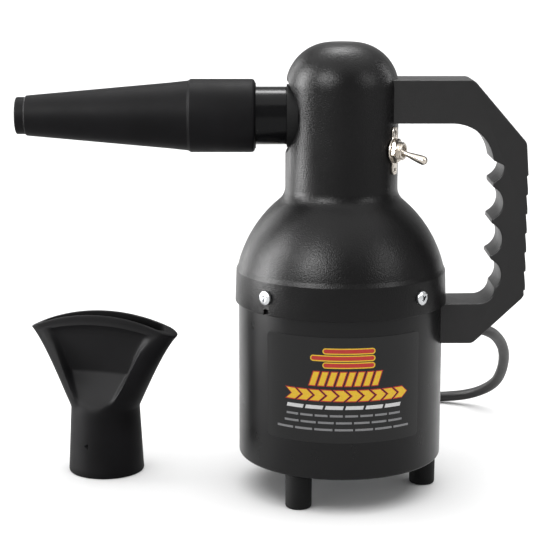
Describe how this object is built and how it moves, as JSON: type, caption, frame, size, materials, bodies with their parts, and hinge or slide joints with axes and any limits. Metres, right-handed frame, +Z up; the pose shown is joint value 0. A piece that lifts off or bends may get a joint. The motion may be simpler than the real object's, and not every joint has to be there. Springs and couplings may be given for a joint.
{
  "type": "car dryer blower",
  "caption": "Hand-held blower for drying cars: upright motor can with domed housing, side outlet with tapered nozzle, grip handle, toggle switch, loose flare nozzle and mains cord.",
  "frame": {"origin": "on the floor, under the middle of the blower's length, in the plane through the outlet and the handle", "axes": "+X from the nozzle towards the handle, +Y towards the cord's side at the back, +Z up"},
  "size_m": [0.3494, 0.3195, 0.3],
  "materials": {
    "can_paint": "satin black baked paint",
    "powder_coat": "fine textured black powder coat",
    "label_film": null,
    "gloss_enamel": "glossy black enamel",
    "black_rubber": "matte black rubber",
    "nozzle_rubber": "matte moulded rubber",
    "handle_moulding": "fine grained moulded plastic",
    "zinc_steel": "bright zinc plate",
    "nickel": "nickel plate",
    "steel": "bare steel",
    "fan_aluminium": "pressed aluminium",
    "copper": "enamelled copper",
    "brass": "pressed brass",
    "carbon": "pressed carbon",
    "black_phenolic": "moulded phenolic",
    "grey_foam": "open-cell filter foam",
    "wire_insulation": "wire insulation",
    "cord_rubber": "dark grey cord jacket",
    "tie_strap": "hook and loop strap"
  },
  "bodies": {
    "root": {"motor_can": "can_paint", "upper_housing": "powder_coat", "nameplate": "label_film", "outlet_tube": "gloss_enamel", "outlet_flange": "black_rubber", "handle": "handle_moulding", "intake_plate": "zinc_steel", "filter_foam": "grey_foam", "foot_1": "black_rubber", "foot_2": "black_rubber", "foot_3": "black_rubber", "foot_screws": "zinc_steel", "foot_nuts": "zinc_steel", "lip_screws": "zinc_steel", "handle_screws": "zinc_steel", "lead_wires": "wire_insulation", "switch_body": "black_phenolic", "switch_terminals": "brass", "switch_bushing": "nickel", "switch_plate": "nickel", "switch_lock_washer": "nickel", "switch_nut": "nickel", "switch_inner_nut": "nickel", "fan_shell": "fan_aluminium", "fan_cover": "fan_aluminium", "motor_gasket": "black_rubber", "stator_core": "steel", "field_coils": "copper", "brush_plate": "black_phenolic", "brush_holders": "brass", "carbon_brushes": "carbon", "brush_springs": "steel", "bearing_bottom": "steel", "bearing_top": "steel", "motor_bracket": "fan_aluminium", "motor_spacers": "steel", "motor_screws": "zinc_steel", "strain_relief": "black_rubber", "cord_tube": "cord_rubber", "cord_coil": "cord_rubber", "cord_tie": "tie_strap", "cord_tail": "cord_rubber", "plug_body": "cord_rubber", "plug_blades": "brass"},
    "rotor": {"motor_shaft": "steel", "impeller": "fan_aluminium", "impeller_nut": "steel", "armature_core": "steel", "armature_windings": "copper", "commutator": "copper"},
    "lever": {"switch_lever": "nickel"},
    "nozzle": {"nozzle": "nozzle_rubber"},
    "flare": {"flare_nozzle": "nozzle_rubber"}
  },
  "joints": [
    {"name": "rotor_spin", "type": "hinge", "parent": "root", "child": "rotor", "pos_m": [0.0463, 0, 0.1], "axis": [0, 0, 1], "continuous": true},
    {"name": "lever_toggle", "type": "hinge", "parent": "root", "child": "lever", "pos_m": [0.08265, -0.01852, 0.2309], "axis": [-0.454, -0.891, 0], "range_deg": [0, 34]},
    {"name": "nozzle_pull", "type": "slide", "parent": "root", "child": "nozzle", "axis": [-1, 0, 0], "range_m": [0, 0.06]},
    {"name": "flare_lift", "type": "slide", "parent": "root", "child": "flare", "axis": [0, 0, 1], "range_m": [0, 0.1]}
  ]
}
